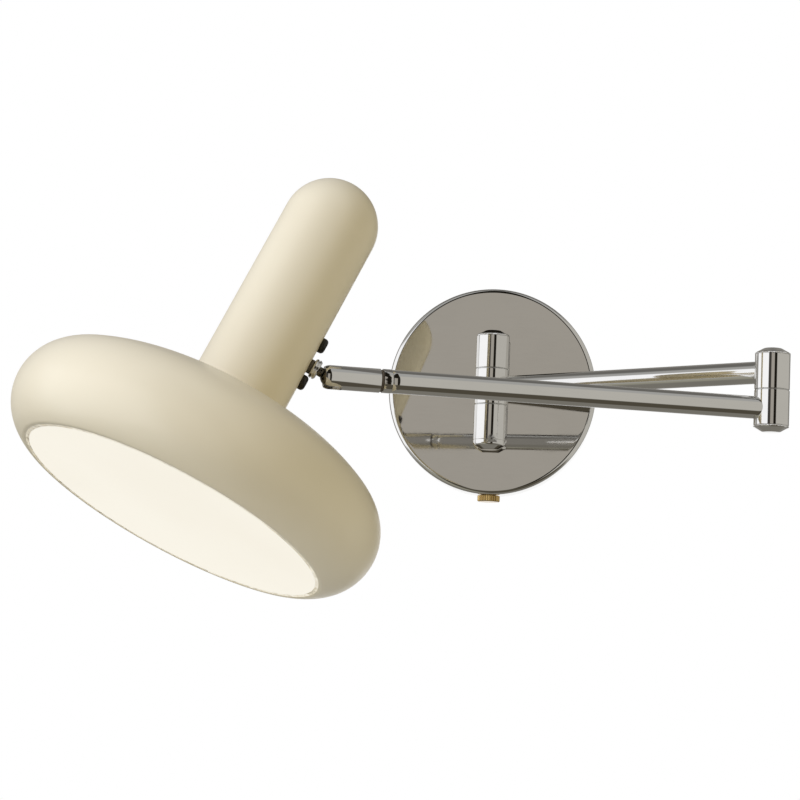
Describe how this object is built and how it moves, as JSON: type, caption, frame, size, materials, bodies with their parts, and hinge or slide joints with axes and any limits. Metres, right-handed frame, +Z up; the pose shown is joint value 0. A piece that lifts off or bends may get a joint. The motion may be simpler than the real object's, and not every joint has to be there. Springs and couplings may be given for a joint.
{
  "type": "swivel wall lamp",
  "caption": "Wall lamp on a round canopy with hinged tube arms, a slotted ball joint and a round painted head with a flat lit diffuser.",
  "frame": {"origin": "centre of the bracket's back plane, on the wall, midway between its two slots", "axes": "+Y into the wall, +X to the right of a person who faces the lamp, +Z up"},
  "size_m": [0.3943, 0.3313, 0.217],
  "materials": {
    "chrome": "polished chrome plate on steel and brass",
    "zinc_steel": "bright zinc plate",
    "ball_steel": "turned and polished steel",
    "dark_steel": "black oxide",
    "brass": "turned brass",
    "cream_paint": "smooth satin cream paint",
    "opal": "opal acrylic, lit from behind",
    "dark_nylon": "dark moulded nylon",
    "white_plastic": "white moulded plastic",
    "bare_aluminium": "milled aluminium",
    "white_board": "white solder mask on aluminium",
    "led_phosphor": "warm white phosphor"
  },
  "bodies": {
    "wall_mount": {"wall_bracket": "zinc_steel", "earth_screw": "zinc_steel", "terminal_block": "white_plastic", "terminal_clamps": "brass", "canopy": "chrome", "canopy_screw": "brass", "wall_posts": "zinc_steel", "post_collars": "chrome", "post_nuts": "zinc_steel", "wall_barrel_upper": "chrome", "wall_barrel_lower": "chrome", "wall_pivot": "zinc_steel", "wall_top_cap": "chrome", "wall_bottom_cap": "chrome", "wall_washers": "zinc_steel"},
    "rear_arm": {"rear_hinge_barrel": "chrome", "rear_arm_tube": "chrome", "elbow_barrel_upper": "chrome", "elbow_pivot": "zinc_steel", "elbow_top_cap": "chrome", "elbow_bottom_cap": "chrome", "elbow_washers": "zinc_steel"},
    "front_arm": {"elbow_barrel_lower": "chrome", "front_arm_tube": "chrome", "arm_spigot": "zinc_steel", "spigot_clip": "zinc_steel"},
    "socket": {"ball_socket": "chrome", "ball_seat": "white_plastic", "seat_spring": "zinc_steel"},
    "ball": {"ball_stud": "ball_steel", "stud_collar": "chrome", "stud_washer": "zinc_steel", "stud_nut": "zinc_steel"},
    "head": {"stud_bush": "dark_nylon", "neck_shell": "cream_paint", "knuckle_plate": "zinc_steel", "neck_screws": "dark_steel", "driver_case": "white_plastic", "shade_shell": "cream_paint", "joint_ring": "zinc_steel", "joint_screws": "zinc_steel", "heat_sink": "bare_aluminium", "led_board": "white_board", "led_chips": "led_phosphor", "reflector_tray": "white_plastic", "diffuser": "opal"}
  },
  "joints": [
    {"name": "wall_swing", "type": "hinge", "parent": "wall_mount", "child": "rear_arm", "pos_m": [0, -0.033, 0.0005], "axis": [0, 0, -1], "range_deg": [-34, 145]},
    {"name": "elbow_swing", "type": "hinge", "parent": "rear_arm", "child": "front_arm", "pos_m": [0.15232, -0.13729, 0.0005], "axis": [0, 0, 1], "range_deg": [-38, 284]},
    {"name": "socket_swivel", "type": "hinge", "parent": "front_arm", "child": "socket", "pos_m": [-0.07587, -0.20837, -0.0191], "axis": [-0.9548, -0.2974, 0], "range_deg": [-170, 170]},
    {"name": "head_tilt", "type": "hinge", "parent": "socket", "child": "ball", "pos_m": [-0.07587, -0.20837, -0.0191], "axis": [0.2919, -0.9372, 0.1908], "range_deg": [-5, 62]},
    {"name": "head_spin", "type": "hinge", "parent": "ball", "child": "head", "pos_m": [-0.07587, -0.20837, -0.0191], "axis": [-0.8798, -0.1848, 0.438], "range_deg": [-170, 170]}
  ]
}
